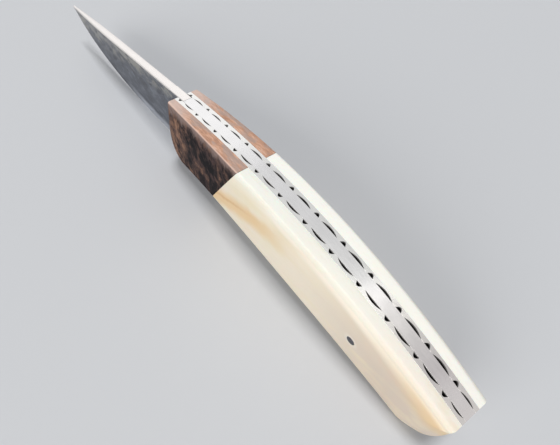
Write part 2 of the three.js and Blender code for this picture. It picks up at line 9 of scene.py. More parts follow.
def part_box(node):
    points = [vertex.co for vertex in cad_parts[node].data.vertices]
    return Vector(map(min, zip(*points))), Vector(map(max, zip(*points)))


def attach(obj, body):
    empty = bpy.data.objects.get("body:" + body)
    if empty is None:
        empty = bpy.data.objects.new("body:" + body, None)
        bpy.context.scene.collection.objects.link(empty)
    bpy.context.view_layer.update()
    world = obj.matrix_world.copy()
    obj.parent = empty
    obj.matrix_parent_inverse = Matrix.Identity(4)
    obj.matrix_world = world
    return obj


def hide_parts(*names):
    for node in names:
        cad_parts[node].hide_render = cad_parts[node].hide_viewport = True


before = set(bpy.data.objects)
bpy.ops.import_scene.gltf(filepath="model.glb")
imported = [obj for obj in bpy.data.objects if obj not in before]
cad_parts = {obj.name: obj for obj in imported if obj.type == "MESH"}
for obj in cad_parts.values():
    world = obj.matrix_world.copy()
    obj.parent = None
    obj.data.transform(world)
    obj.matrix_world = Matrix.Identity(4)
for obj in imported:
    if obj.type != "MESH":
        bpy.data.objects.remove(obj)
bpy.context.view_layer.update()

# The knife is drawn in millimetres in its own frame: the origin lies on the spine at the front
# end of the handle, +X runs forward along the blade's spine, +Y is the left side, +Z is up.
MM = 0.001

# Handle outline
HANDLE_LENGTH = 115.2
SPINE_DROP = 24.4
SPINE_EARLY_SHARE = 0.59
FRONT_HEIGHT = 22.5
FRONT_SLANT = 5.7
FRONT_SLANT_SHARE = 0.47
NOSE_REACH = 13.0
FRONT_ROUND = 5.0
BELLY_FLAT_RUN = 19.0
BELLY_REAR_RUN = 33.0
BELLY_REAR_SLOPE = math.radians(15)
BUTT_SETBACK = 12.6
BUTT_HEIGHT = 14.2
BUTT_LEAN = math.radians(15.8)
BUTT_STRAIGHT = 6.1
BUTT_ROUND = 10.1

# Layers, from the middle plane outwards
SPRING_HALF = 1.6
LINER_THICKNESS = 1.3
LINER_OUTER = SPRING_HALF + LINER_THICKNESS
HALF_THICKNESS_FRONT = 6.6
HALF_THICKNESS_REAR = 7.6
RIDGE_HALF_FRONT = 5.5
RIDGE_HALF_REAR = 6.1
RIDGE_SWELL = 1.15
RIDGE_ROUND = 0.8
RIDGE_ROUND_REAR = 1.4
# The rounding grows between these shares of the length, and fades over this share of the height
RIDGE_GROWS = (0.3, 0.85)
RIDGE_FADES = 0.3
CROWN_WIDTH = 5.5
EASED_EDGE = 0.012

# Joint between bolster and scale
JOINT_TOP = 41.1
JOINT_SLANT = math.radians(42.5)
GLUE_LINE = 0.08

# Filework
NOTCH_PITCH = 9.98
NOTCH_START = 1.8
NOTCH_END = 6.8
NOTCH_RADIUS = (0.72, 0.95)
CRESCENT_LENGTH = (5.2, 6.0)
CRESCENT_SAG = (0.45, 0.74)
FILEWORK_GROWS = 75.0
TAIL_LENGTH = 4.8
TAIL_SAG = 0.5
TAIL_END = 0.8
FILEWORK_DEPTH = 1.6
FILEWORK_START = 0.4
NOTCH_RISE = 1.05
CUT_STEPS = 20
ARC_STEPS = 4000
TANGENT_STEP = 1e-4

# Blade
BLADE_LENGTH = 93.6
BLADE_HALF = 1.5
BLADE_HEEL = 9.0
BLADE_HEIGHT = 23.2
EDGE_STRAIGHT = 45.0
EDGE_TIP_RUN = 5.0
EDGE_TIP_DEPTH = 12.4
TAPER_START = 52.0
TAPER_POWER = 2.0
TIP_THICKNESS = 0.9
TIP_HEIGHT = 0.6
BEVEL_HEIGHT = 1.9
BEVEL_TIP_HEIGHT = 0.5
BEVEL_NARROWS = 50.0
BEVEL_LEAST_SHARE = 0.5
BEVEL_SHOULDER = 0.5
BEVEL_TIP_SHOULDER = 0.25
EDGE_THICKNESS = 0.06
EDGE_RISE = 0.0024
PLUNGE_TOP = 6.5
PLUNGE_LOW = 2.5
PLUNGE_RUN = 3.5
PLUNGE_DEPTH_SHARE = 0.4
SPINE_EDGE_ROUND = 0.3
SPINE_EDGE_CORNER = 0.3
BRIGHT_SPINE_DEPTH = 0.25
BRIGHT_SPINE_TILT = 0.4
FLAT_ROWS = 22

# Tang and slip joint
PIVOT = (-8.5, -13.5)
CLOSED_ANGLE = math.radians(174)
TANG_END = math.radians(33)
TANG_OVERLAP = 3.0
TANG_CORNER_RADIUS = 9.9
TANG_FLAT = 8.4
TANG_EASE = 0.15
TANG_LEAST_COSINE = 0.1
SHOULDER_SETBACK = 3.0
KICK = (2.0, -21.4)
CHOIL = (6.0, -20.6)
CHOIL_SAG = 0.2

# Backspring
SPRING_NOSE_DEPTH = 5.0
SPRING_FRONT_DEPTH = 4.0
SPRING_MIDDLE_DEPTH = 4.7
SPRING_REAR_DEPTH = 8.0
SPRING_REAR_SHARE = 0.45
SPRING_SWELL_START = 9.0
SPRING_GAP = 0.1

# Pins
PIVOT_RADIUS = 2.0
WASHER_SEAT = 4.64
WASHER_SEAT_DEPTH = 0.31
SPRING_PIN_RADIUS = 1.0
CENTER_PIN_SETBACK = 52.0
CENTER_PIN_DEPTH = 2.8
REAR_PIN_INSET = 11.0
REAR_PIN_DEPTH = 4.0
SCALE_PIN_RADIUS = 1.3
SCALE_PIN_INSET = 29.8
SCALE_PIN_DEPTH = 12.7
SCALE_PIN_PROUD = 0.05
SCALE_PIN_EASE = 0.12
BOLSTER_PIN_RADIUS = 0.8
BOLSTER_PIN_END = 4.75
BOLSTER_PIN_SPARE = 0.1
BOLSTER_PINS = ((0.5, -8.5), (-24.0, -9.0))
PIN_INNER_END = 1.75
PIN_CLEARANCE = 0.04

# Making of the meshes
OVERSHOOT = 1.0
CUT_TOLERANCE = 1e-5
SHARP_ANGLE = math.radians(32)

# Lines that brushing leaves in steel: how often a line changes along, across and down
BRUSH_LINES = (0.04, 13.0, 0.6)

# Floor and light, in metres
FLOOR_RADIUS = 2.2
FLOOR_COLOR = (0.60, 0.612, 0.635)
FLOOR_ROUGHNESS = 0.8
FLOOR_SPECULAR = 0.1
WORLD_LIGHT = 0.24
BACKDROP_LIGHT = 0.66
BACKDROP_COLOR = (0.96, 0.98, 1.0)
LAMP_AIM = (0, 0, 0.01)
WHITE = (1, 1, 1)
WARM_WHITE = (1.0, 0.985, 0.96)
# Name, direction from the knife, distance, width and height, radiance and colour
LAMPS = (
    ("key", (-0.02, -0.08, 1.0), 6.0, (1.5, 1.5), 25.3, WHITE),
    ("fill", (-0.20, 0.88, 0.36), 5.6, (5.4, 4.0), 3.55, WARM_WHITE),
    ("front", (0.84, -0.36, 0.41), 5.6, (3.6, 3.6), 0.50, WHITE),
    ("top", (0.30, -0.42, 0.85), 5.6, (3.6, 3.6), 0.14, WHITE),
    ("glint", (-0.12, -0.48, 0.87), 5.6, (0.6, 2.0), 0.85, WHITE),
    ("rear", (-0.70, -0.43, 0.57), 5.6, (1.6, 2.4), 0.30, WHITE),
)

# Camera of the photograph, in the knife's frame
CAMERA_PLACE = (-115.89, 45.86, 66.91)
CAMERA_RIGHT = (-0.60410, -0.79494, -0.05597)
CAMERA_DOWN = (-0.62371, 0.51536, -0.58770)
PHOTO_WIDTH = 560
PHOTO_HEIGHT = 445
FOCAL_PIXELS = 411.8
AXIS_ROW = 280.1
SENSOR_WIDTH = 36.0
CLIP_START = 0.005


# Outline of the handle

def bezier(points, t):
    a, b, c, d = (np.array(point, float) for point in points)
    t = np.asarray(t, float)[..., None]
    s = 1 - t
    return s ** 3 * a + 3 * s ** 2 * t * b + 3 * s * t ** 2 * c + t ** 3 * d


def spine(u):
    u = np.asarray(u, float)
    fall = SPINE_EARLY_SHARE * u ** 2 + (1 - SPINE_EARLY_SHARE) * u ** 3
    return np.stack([-HANDLE_LENGTH * u, -SPINE_DROP * fall], -1)


BELLY_FRONT = np.array((-FRONT_ROUND, -FRONT_HEIGHT))
BELLY_REAR = np.array((-HANDLE_LENGTH + BUTT_SETBACK, -SPINE_DROP - BUTT_HEIGHT))
REARWARDS = -np.array((math.cos(BELLY_REAR_SLOPE), math.sin(BELLY_REAR_SLOPE)))
BUTT_TOP = spine(1.0)
DOWN_BUTT = np.array((math.sin(BUTT_LEAN), -math.cos(BUTT_LEAN)))


def front_end(v):
    upper = (FRONT_SLANT, -FRONT_HEIGHT * FRONT_SLANT_SHARE)
    return bezier(((0, 0), upper, (NOSE_REACH, -FRONT_HEIGHT), BELLY_FRONT), v)


def belly(u):
    flat = BELLY_FRONT + (-BELLY_FLAT_RUN, 0)
    return bezier((BELLY_FRONT, flat, BELLY_REAR - BELLY_REAR_RUN * REARWARDS, BELLY_REAR), u)


def butt(v):
    upper = BUTT_TOP + BUTT_STRAIGHT * DOWN_BUTT
    return bezier((BUTT_TOP, upper, BELLY_REAR + BUTT_ROUND * REARWARDS, BELLY_REAR), v)


def handle_point(u, v):
    """A patch stretched between the four edges: u from front to butt, v from spine to belly."""
    u, v = np.broadcast_arrays(np.asarray(u, float), np.asarray(v, float))
    a, b = u[..., None], v[..., None]
    sides = spine(u) * (1 - b) + belly(u) * b + front_end(v) * (1 - a) + butt(v) * a
    corners = front_end(0) * (1 - a) * (1 - b) + butt(0) * a * (1 - b)
    return sides - corners - front_end(1) * (1 - a) * b - butt(1) * a * b


def rim_shares(spine_steps=150, end_steps=44, belly_steps=110):
    """The shares u and v of each point round the handle's outline."""
    runs = (
        (np.arange(spine_steps) / spine_steps, 0),
        (1, np.arange(end_steps) / end_steps),
        (1 - np.arange(belly_steps) / belly_steps, 1),
        (0, 1 - np.arange(end_steps) / end_steps),
    )
    return np.concatenate([np.stack(np.broadcast_arrays(u, v)) for u, v in runs], 1)


RIM_U, RIM_V = rim_shares()


def handle_outline(inset=0.0, spine_inset=None):
    """The outline moved inwards. The spine may have its own inset for each point."""
    top = (inset if spine_inset is None else spine_inset) / FRONT_HEIGHT
    bottom = inset / FRONT_HEIGHT
    end = inset / HANDLE_LENGTH
    return handle_point(end + RIM_U * (1 - 2 * end), top + RIM_V * (1 - top - bottom))


def spine_height(x):
    return spine(np.clip(-np.asarray(x, float) / HANDLE_LENGTH, 0, 1))[..., 1]


def half_thickness(x):
    """Middle plane to the flat of the side."""
    return HALF_THICKNESS_FRONT + (HALF_THICKNESS_REAR - HALF_THICKNESS_FRONT) * -x / HANDLE_LENGTH


def ridge_half(x):
    """Middle plane to the ridge: the handle is widest near its middle."""
    share = -x / HANDLE_LENGTH
    swell = 4 * RIDGE_SWELL * share * (1 - share)
    return RIDGE_HALF_FRONT * (1 - share) + RIDGE_HALF_REAR * share + swell


def below_spine(x, depth):
    return (x, float(spine_height(x)) - depth)


CENTER_PIN = below_spine(-CENTER_PIN_SETBACK, CENTER_PIN_DEPTH)
REAR_PIN = below_spine(-HANDLE_LENGTH + REAR_PIN_INSET, REAR_PIN_DEPTH)
SCALE_PIN = below_spine(-HANDLE_LENGTH + SCALE_PIN_INSET, SCALE_PIN_DEPTH)


# The knife's frame in the row frame, from the axes of two pins

def pin_axis(node):
    low, high = (np.array(corner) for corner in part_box(node))
    return (low + high) / 2


def heading(dx, dz):
    return math.atan2(dz, dx)


PIVOT_ROW = pin_axis("pivot_pin")
ACROSS_ROW = pin_axis("spring_rear_pin") - PIVOT_ROW
STANCE = heading(REAR_PIN[0] - PIVOT[0], REAR_PIN[1] - PIVOT[1]) - heading(ACROSS_ROW[0], ACROSS_ROW[2])
STANCE = (STANCE + math.pi) % (2 * math.pi) - math.pi
PLACE = (Matrix.Translation(PIVOT_ROW) @ Matrix.Rotation(STANCE, 4, "Y") @ Matrix.Scale(MM, 4)
         @ Matrix.Translation((-PIVOT[0], 0, -PIVOT[1])))


# Mesh shapes: (vertices, faces, material index of each face)

def ring(outline, y):
    outline = np.asarray(outline, float)
    across = np.broadcast_to(y, len(outline))
    return np.stack([outline[:, 0], across, outline[:, 1]], 1)


def loft(rings, row_material=None):
    """Rings of equal length joined by quads and closed by a face at each end. row_material
    gives the material of the quads that start from each point of a ring."""
    size = len(rings[0])
    faces = []
    materials = []
    for row in range(len(rings) - 1):
        for i in range(size):
            j = (i + 1) % size
            a, b = row * size + i, row * size + j
            faces.append((a, b, b + size, a + size))
            materials.append(row_material[i] if row_material else 0)
    faces.append(tuple(range(size)))
    faces.append(tuple(reversed(range((len(rings) - 1) * size, len(rings) * size))))
    return np.concatenate(rings), faces, materials + [0, 0]


def joined(shapes):
    vertices, faces, materials = [], [], []
    count = 0
    for points, polygons, indices in shapes:
        vertices.append(points)
        faces += [tuple(i + count for i in polygon) for polygon in polygons]
        materials += indices
        count += len(points)
    return np.concatenate(vertices), faces, materials


def moved_in(outline, distance):
    """The outline moved towards its inside, point by point."""
    outline = np.asarray(outline, float)
    along = np.roll(outline, -1, axis=0) - np.roll(outline, 1, axis=0)
    along /= np.linalg.norm(along, axis=1)[:, None]
    x, z = outline.T
    turns_left = np.sum(x * np.roll(z, -1) - np.roll(x, -1) * z) > 0
    inward = np.stack([-along[:, 1], along[:, 0]], 1) * (1 if turns_left else -1)
    return outline + inward * distance


def plate(outline, low, high, ease=EASED_EDGE):
    """A flat piece between two heights, with its edges eased."""
    inner = moved_in(outline, ease)
    return loft([ring(inner, low), ring(outline, low + ease),
                 ring(outline, high - ease), ring(inner, high)])


def circle(center, radius, steps):
    angles = np.arange(steps) * 2 * math.pi / steps
    return np.stack([center[0] + radius * np.cos(angles), center[1] + radius * np.sin(angles)], 1)


def bore(center, radius, low, high, steps=48):
    outline = circle(center, radius, steps)
    return loft([ring(outline, low), ring(outline, high)])


def mesh_object(name, shape, looks):
    vertices, faces, materials = shape
    mesh = bpy.data.meshes.new(name)
    mesh.from_pydata(vertices.tolist(), [], faces)
    mesh.polygons.foreach_set("material_index", materials)
    for look in looks:
        mesh.materials.append(look)
    repair = bmesh.new()
    repair.from_mesh(mesh)
    bmesh.ops.recalc_face_normals(repair, faces=repair.faces)
    repair.to_mesh(mesh)
    repair.free()
    piece = bpy.data.objects.new(name, mesh)
    bpy.context.scene.collection.objects.link(piece)
    return piece


def combine(piece, shape, operation, looks):
    """Cuts the shape from the piece, or adds it."""
    tool = mesh_object("tool", shape, looks)
    modifier = piece.modifiers.new("combine", "BOOLEAN")
    modifier.operation = operation
    modifier.solver = "EXACT"
    modifier.material_mode = "TRANSFER"
    modifier.object = tool
    bpy.context.view_layer.update()
    result = bpy.data.meshes.new_from_object(piece.evaluated_get(bpy.context.evaluated_depsgraph_get()))
    piece.modifiers.remove(modifier)
    spent = [piece.data, tool.data]
    piece.data = result
    bpy.data.objects.remove(tool)
    for mesh in spent:
        bpy.data.meshes.remove(mesh)


def mirrored_copy(piece, name):
    copy = bpy.data.objects.new(name, piece.data.copy())
    copy.data.transform(Matrix.Scale(-1, 4, (0, 1, 0)))
    copy.data.flip_normals()
    bpy.context.scene.collection.objects.link(copy)
    return copy


def finished(piece, node, body):
    """Puts a piece made in the knife's frame in its place in the row frame."""
    piece.data.transform(PLACE)
    piece.data.shade_smooth()
    piece.data.set_sharp_from_angle(angle=SHARP_ANGLE)
    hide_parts(node)
    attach(piece, body)


# Colours. A ramp holds pairs of a place from 0 to 1 and the colour there.

# Painted reflections: factors along the steel strip that lighten and darken it where lamps and room are
# reflected, from the front end of the handle to the butt
STRIP_PAINTED_REFLECTIONS = (
    (0.0, (0.86, 0.86, 0.85)), (0.46, (0.86, 0.86, 0.85)), (0.56, (0.77, 0.77, 0.76)),
    (0.70, (0.73, 0.73, 0.71)), (0.80, (0.98, 0.95, 0.91)), (0.91, (0.75, 0.71, 0.70)),
    (1.0, (0.72, 0.69, 0.67)),
)
# Painted shade deep in the filework cuts, and the matt colour of the spring's walls near the top
WALL_PAINTED_SHADE = (0.016, 0.015, 0.015)
WALL_PALE = (0.62, 0.60, 0.59)

ETCH_TONES = (
    (0.36, (0.066, 0.073, 0.092)), (0.50, (0.126, 0.136, 0.166)), (0.66, (0.250, 0.262, 0.292)),
)
ETCH_MOTTLE = (0.42, 0.40, 0.34)
ETCH_RIM = (0.38, 0.37, 0.365)
ETCH_DARK_SPOTS = (0.052, 0.056, 0.068)
ETCH_BLUE_SPOTS = (0.270, 0.310, 0.350)
ETCH_GRAIN = (0.070, 0.075, 0.088)
# Painted reflection that brightens the edge and the bevel towards the heel
EDGE_PAINTED_REFLECTION = (0.56, 0.58, 0.63)

# Painted shade at the bottom of the filework cuts, their steel near the top, and painted light on their
# walls
CUT_PAINTED_SHADE = ((0.35, (0.010, 0.009, 0.009)), (0.75, (0.045, 0.040, 0.040)))
CUT_TOP = (0.40, 0.39, 0.38)
CUT_PAINTED_LIGHT = (0.46, 0.455, 0.45)

BURL_TONES = (
    (0.51, (0.006, 0.005, 0.006)), (0.58, (0.017, 0.013, 0.014)), (0.64, (0.047, 0.029, 0.026)),
    (0.70, (0.120, 0.070, 0.052)), (0.79, (0.270, 0.152, 0.102)),
)
BURL_MAUVE = (0.098, 0.062, 0.060)
# Painted sheen on the side just below the ridge
BURL_PAINTED_SHEEN = (0.240, 0.176, 0.160)
# The strip beside the spine: its own straight grain, made paler partly by painted light on the top
WOOD_STRIP_TONES = (
    (0.30, (0.38, 0.215, 0.155)), (0.46, (0.53, 0.300, 0.205)),
    (0.58, (0.65, 0.390, 0.275)), (0.74, (0.74, 0.520, 0.410)),
)
WOOD_STRIP_LINES = (0.32, 0.190, 0.140)
WOOD_STRIP_SMOKE = (0.40, 0.33, 0.305)
WOOD_STRIP_FRONT = (0.68, 0.55, 0.50)
# Painted highlight along the ridge
WOOD_RIDGE_PAINTED_HIGHLIGHT = (0.66, 0.47, 0.39)

# The ivory's three ramps run from the spine down to this many millimetres
IVORY_RAMP_DEPTH = 10.0
# The ramps hold the ivory's cream turning tan lower down, and painted light and shade: a dark step just
# below the ridge holds down its highlight, and the paler bands below it are painted light
IVORY_FRONT = (
    (0.0, (0.88, 0.88, 0.81)), (0.03, (0.79, 0.79, 0.73)), (0.12, (0.91, 0.89, 0.79)),
    (0.50, (0.86, 0.78, 0.62)), (1.0, (0.81, 0.73, 0.60)),
)
IVORY_MIDDLE = (
    (0.0, (0.87, 0.85, 0.77)), (0.03, (0.76, 0.73, 0.64)), (0.08, (0.79, 0.77, 0.66)),
    (0.17, (0.98, 0.90, 0.77)), (0.25, (0.95, 0.86, 0.74)),
)
IVORY_REAR = (
    (0.0, (0.90, 0.84, 0.75)), (0.04, (0.77, 0.70, 0.59)), (0.17, (0.87, 0.79, 0.65)),
    (0.45, (0.66, 0.56, 0.46)), (1.0, (0.63, 0.53, 0.44)),
)
IVORY_FIGURE = (0.79, 0.70, 0.49)
IVORY_STREAK = (0.76, 0.54, 0.29)
IVORY_VEIN = (0.60, 0.36, 0.16)
IVORY_WARM = (0.69, 0.50, 0.29)
IVORY_PIN_RING = (0.80, 0.76, 0.72)
# Painted light on the top of the right side
IVORY_RIGHT_PAINTED_LIGHT = (0.975, 0.965, 0.90)
IVORY_FINE = (0.70, 0.58, 0.42)


# Materials

class Look:
    """A procedural material on one Principled shader, drawn in the knife's millimetres."""

    def __init__(self, name, color, metallic, roughness, **sockets):
        self.material = bpy.data.materials.new(name)
        self.material.use_nodes = True
        self.tree = self.material.node_tree
        self.shader = self.tree.nodes["Principled BSDF"]
        self.feed(self.shader.inputs["Base Color"], (*color, 1))
        self.feed(self.shader.inputs["Metallic"], metallic)
        self.feed(self.shader.inputs["Roughness"], roughness)
        for socket, value in sockets.items():
            self.feed(self.shader.inputs[socket.replace("_", " ")], value)
        point = self.add("TexCoord", {}, "Object")
        self.point = self.add("Mapping", {
            "Vector": point, "Location": PLACE.translation,
            "Rotation": (0, STANCE, 0), "Scale": (MM, MM, MM),
        }, vector_type="TEXTURE")

    def feed(self, socket, value):
        if isinstance(value, bpy.types.NodeSocket):
            self.tree.links.new(value, socket)
        else:
            socket.default_value = value

    def add(self, kind, inputs, out=0, **settings):
        node = self.tree.nodes.new("ShaderNode" + kind)
        for key, value in settings.items():
            setattr(node, key, value)
        for key, value in inputs.items():
            self.feed(node.inputs[key], value)
        return node.outputs[out]

    def math(self, operation, a, b=0.0, c=0.0):
        return self.add("Math", {0: a, 1: b, 2: c}, operation=operation)

    def times(self, a, b):
        return self.math("MULTIPLY", a, b)

    def scaled(self, factors, warp=0.0, warp_scale=0.1):
        """The place on the piece times the factors, bent by a slow noise. Warp is the most that
        it bends a place by, in millimetres, from one side to the other."""
        point = self.point
        if warp:
            noise = self.add("TexNoise", {"Vector": point, "Scale": warp_scale, "Detail": 2.0}, "Color")
            centered = self.add("VectorMath", {0: noise, 1: (0.5, 0.5, 0.5)}, operation="SUBTRACT")
            shift = self.add("VectorMath", {0: centered, 1: (warp, warp, warp)}, operation="MULTIPLY")
            point = self.add("VectorMath", {0: point, 1: shift}, operation="ADD")
        return self.add("VectorMath", {0: point, 1: factors}, operation="MULTIPLY")

    def noise(self, vector, scale=1.0, detail=3.0, roughness=0.55, distortion=0.0):
        inputs = {"Vector": vector, "Scale": scale, "Detail": detail,
                  "Roughness": roughness, "Distortion": distortion}
        return self.add("TexNoise", inputs, "Fac")

    def band(self, value, low, high, start=0.0, end=1.0):
        """A smooth step from start at low to end at high."""
        inputs = {"Value": value, "From Min": low, "From Max": high, "To Min": start, "To Max": end}
        return self.add("MapRange", inputs, interpolation_type="SMOOTHSTEP")

    def ramp(self, factor, stops):
        node = self.tree.nodes.new("ShaderNodeValToRGB")
        self.feed(node.inputs[0], factor)
        elements = node.color_ramp.elements
        while len(elements) < len(stops):
            elements.new(0.5)
        for element, (position, color) in zip(elements, stops):
            element.position = position
            element.color = (*color, 1)
        return node.outputs[0]

    def mix(self, factor, a, b, blend="MIX"):
        a, b = ((*c, 1) if isinstance(c, tuple) else c for c in (a, b))
        return self.add("Mix", {0: factor, 6: a, 7: b}, 2, data_type="RGBA", blend_type=blend)

    def along(self):
        """Millimetres ahead of the handle's front end."""
        return self.add("SeparateXYZ", {0: self.point}).node.outputs[0]

    def across(self):
        """Millimetres to the left of the middle plane."""
        return self.add("SeparateXYZ", {0: self.point}).node.outputs[1]

    def depth(self):
        """Millimetres below the curve of the handle's spine."""
        x, _, z = self.add("SeparateXYZ", {0: self.point}).node.outputs
        u = self.times(x, -1 / HANDLE_LENGTH)
        cubic = self.math("MULTIPLY_ADD", u, 1 - SPINE_EARLY_SHARE, SPINE_EARLY_SHARE)
        fall = self.times(self.times(u, u), cubic)
        return self.math("SUBTRACT", self.times(fall, -SPINE_DROP), z)

    def above_edge(self):
        """Millimetres above the blade's cutting edge, near enough as far as the curve's middle."""
        x, _, z = self.add("SeparateXYZ", {0: self.point}).node.outputs
        run = self.math("SUBTRACT", x, BLADE_HEEL)
        rise = self.times(self.times(run, run), EDGE_RISE)
        return self.math("SUBTRACT", self.math("ADD", z, BLADE_HEIGHT), rise)

    def color(self, value):
        self.feed(self.shader.inputs["Base Color"], value)

    def rough(self, value):
        self.feed(self.shader.inputs["Roughness"], value)

    def bump(self, height, strength, millimetres):
        inputs = {"Height": height, "Strength": strength, "Distance": millimetres * MM}
        self.feed(self.shader.inputs["Normal"], self.add("Bump", inputs, "Normal"))


def brushed_steel(name, dark, light, roughness, painted_reflection_zones=None, walls=False):
    """Ground steel, with fine lines along the knife. Painted reflections lighten and darken it along
    the handle. The walls are the spring's sides, which the filework lays open: matt, with painted
    shade that darkens them further down."""
    look = Look(name, light, 1.0, roughness)
    lines = look.noise(look.scaled(BRUSH_LINES), detail=5.0, roughness=0.7)
    clouds = look.noise(look.point, scale=0.16, detail=2.0)
    tone = look.math("MULTIPLY_ADD", lines, 0.6, look.times(clouds, 0.4))
    color = look.ramp(tone, ((0.3, dark), (0.7, light)))
    rough = look.band(lines, 0.2, 0.8, roughness - 0.06, roughness + 0.08)
    # Painted reflections: the steel is lighter and darker in zones along the handle
    if painted_reflection_zones:
        back = look.times(look.along(), -1 / HANDLE_LENGTH)
        color = look.mix(1.0, color, look.ramp(back, painted_reflection_zones), "MULTIPLY")
    if walls:
        side = look.math("ABSOLUTE", look.across())
        wall = look.band(side, SPRING_HALF - EASED_EDGE, SPRING_HALF - 0.1 * EASED_EDGE)
        # Painted shade: the walls darken further down in the cuts
        painted_wall_shade = look.mix(look.band(look.depth(), 0.75, 0.12), WALL_PAINTED_SHADE, WALL_PALE)
        color = look.mix(wall, color, painted_wall_shade)
        rough = look.math("MULTIPLY_ADD", wall, 0.4, rough)
        metallic = look.math("SUBTRACT", 1.0, look.times(wall, 0.9))
        look.feed(look.shader.inputs["Metallic"], metallic)
    look.color(color)
    look.rough(rough)
    look.bump(lines, strength=0.25, millimetres=0.02)
    return look.material


def etched_steel(name, bevel=False):
    """The dark, cloudy finish of the blade's flats, with a paler mottle near the spine. Along
    the edge, and over the whole bevel, a painted reflection brightens the steel towards the heel."""
    look = Look(name, (0.2, 0.21, 0.24), 0.9, 0.42)
    depth = look.depth()
    clouds = look.noise(look.scaled((0.15, 0.15, 0.30), 5.0, 0.2), detail=6.0, roughness=0.68)
    grain = look.noise(look.point, scale=2.2, detail=4.0, roughness=0.7)
    patches = look.noise(look.scaled((0.17, 0.17, 0.27), 3.0, 0.3), detail=4.0, roughness=0.60)
    spots = look.noise(look.scaled((0.34, 0.34, 0.55), 2.0, 0.4))
    mottle = look.times(look.band(depth, 6.5, 0.4, 0.0, 0.9), look.band(patches, 0.47, 0.60))
    color = look.mix(mottle, look.ramp(clouds, ETCH_TONES), ETCH_MOTTLE)
    color = look.mix(look.band(depth, 1.8, 0.3, 0.0, 0.5), color, ETCH_RIM)
    upper = look.band(depth, 13.0, 6.0)
    dark_spots = look.times(upper, look.band(spots, 0.46, 0.36, 0.0, 0.75))
    color = look.mix(dark_spots, color, ETCH_DARK_SPOTS)
    blue_spots = look.times(upper, look.band(spots, 0.60, 0.70, 0.0, 0.6))
    color = look.mix(blue_spots, color, ETCH_BLUE_SPOTS)
    color = look.mix(look.band(grain, 0.38, 0.7, 0.0, 0.35), color, ETCH_GRAIN)
    # Painted reflection: brighter towards the heel along the edge and over the bevel
    heel_painted_reflection = look.band(look.along(), 58.0, 38.0, 0.0, 0.9)
    if not bevel:
        heel_painted_reflection = look.times(heel_painted_reflection, look.band(look.above_edge(), 4.3, 1.9))
    look.color(look.mix(heel_painted_reflection, color, EDGE_PAINTED_REFLECTION))
    look.rough(look.band(clouds, 0.3, 0.7, 0.36, 0.5))
    height = look.math("MULTIPLY_ADD", grain, 0.3, clouds)
    look.bump(height, strength=0.35, millimetres=0.12)
    return look.material


def filework_with_painted_shade():
    """The cuts in the liners, with painted shade: dark at the bottom, paler towards the spine, and
    with painted light paler again near the front end, further back on the right side than on the left."""
    look = Look("filework_with_painted_shade", (0.02, 0.018, 0.018), 0.2, 0.6)
    along = look.along()
    across = look.across()
    # Painted shade: the cuts are dark at the bottom
    bottom = look.ramp(look.noise(look.point, scale=3.0), CUT_PAINTED_SHADE)
    cut = look.mix(look.band(look.depth(), 0.8, 0.1), bottom, CUT_TOP)
    # Painted light on the walls of the cuts near the front end
    painted_light_left = look.times(look.band(along, -9.0, -1.0, 0.0, 0.4), look.band(across, 0.0, 0.1))
    painted_light_right = look.times(look.band(along, -48.0, -38.0, 0.0, 0.62), look.band(across, 0.0, -0.1))
    look.color(look.mix(look.math("ADD", painted_light_left, painted_light_right), cut, CUT_PAINTED_LIGHT))
    return look.material


def burl_wood():
    """Dark burl on the sides, with a painted sheen below the ridge and a painted highlight on it. The
    strip beside the spine is straight in the grain, and paler, partly its own and partly painted light.
    """
    look = Look("burl_wood", (0.1, 0.06, 0.05), 0.0, 0.5, Specular_IOR_Level=0.03)
    depth = look.depth()
    along = look.along()
    swirl = look.noise(look.scaled((0.46, 0.46, 0.19), 4.0, 0.20), detail=5.0, roughness=0.62,
                       distortion=0.6)
    blobs = look.noise(look.scaled((0.26, 0.26, 0.22), 2.5, 0.4), detail=4.0, roughness=0.60)
    fibre = look.noise(look.scaled((1.5, 1.5, 0.60), 2.5, 0.35), roughness=0.6)
    tone = look.math("ADD", look.times(swirl, 0.55), look.times(blobs, 0.52))
    tone = look.math("ADD", tone, look.times(fibre, 0.13))
    tone = look.math("ADD", tone, look.band(along, -20.0, -1.0, -0.02, 0.11))
    # Painted light: the burl lightens a little towards the spine and darkens lower down
    tone = look.math("ADD", tone, look.band(depth, 3.0, 13.0, 0.01, -0.02))
    mauve = look.noise(look.scaled((0.50, 0.50, 0.20), 3.0, 0.25))
    mauve = look.band(mauve, 0.52, 0.66, 0.0, 0.4)
    side = look.mix(mauve, look.ramp(tone, BURL_TONES), BURL_MAUVE)
    # Painted sheen: the side turns pinkish brown just below the ridge
    wander = look.math("MULTIPLY_ADD", swirl, 8.0, depth)
    side = look.mix(look.band(wander, 7.3, 4.3, 0.0, 0.9), side, BURL_PAINTED_SHEEN)
    streaks = look.noise(look.scaled((0.24, 1.4, 0.3), 2.0, 0.25), detail=5.0, roughness=0.65)
    lines = look.noise(look.scaled((0.30, 4.5, 0.4), 1.0, 0.3), roughness=0.6)
    lines = look.band(lines, 0.50, 0.68, 0.0, 0.4)
    strip = look.mix(lines, look.ramp(streaks, WOOD_STRIP_TONES), WOOD_STRIP_LINES)
    smoke = look.noise(look.scaled((0.16, 0.45, 0.2), 2.0, 0.2), detail=2.0)
    strip = look.mix(look.band(smoke, 0.48, 0.60, 0.0, 0.62), strip, WOOD_STRIP_SMOKE)
    strip = look.mix(look.band(along, -17.0, -2.0, 0.0, 0.7), strip, WOOD_STRIP_FRONT)
    # Painted highlight along the ridge
    strip = look.mix(look.band(depth, 0.0, 0.25), strip, WOOD_RIDGE_PAINTED_HIGHLIGHT)
    # The strip beside the spine is paler, partly its own grain and partly painted light
    look.color(look.mix(look.band(depth, 0.15, 0.5), strip, side))
    look.bump(swirl, strength=0.08, millimetres=0.05)
    return look.material


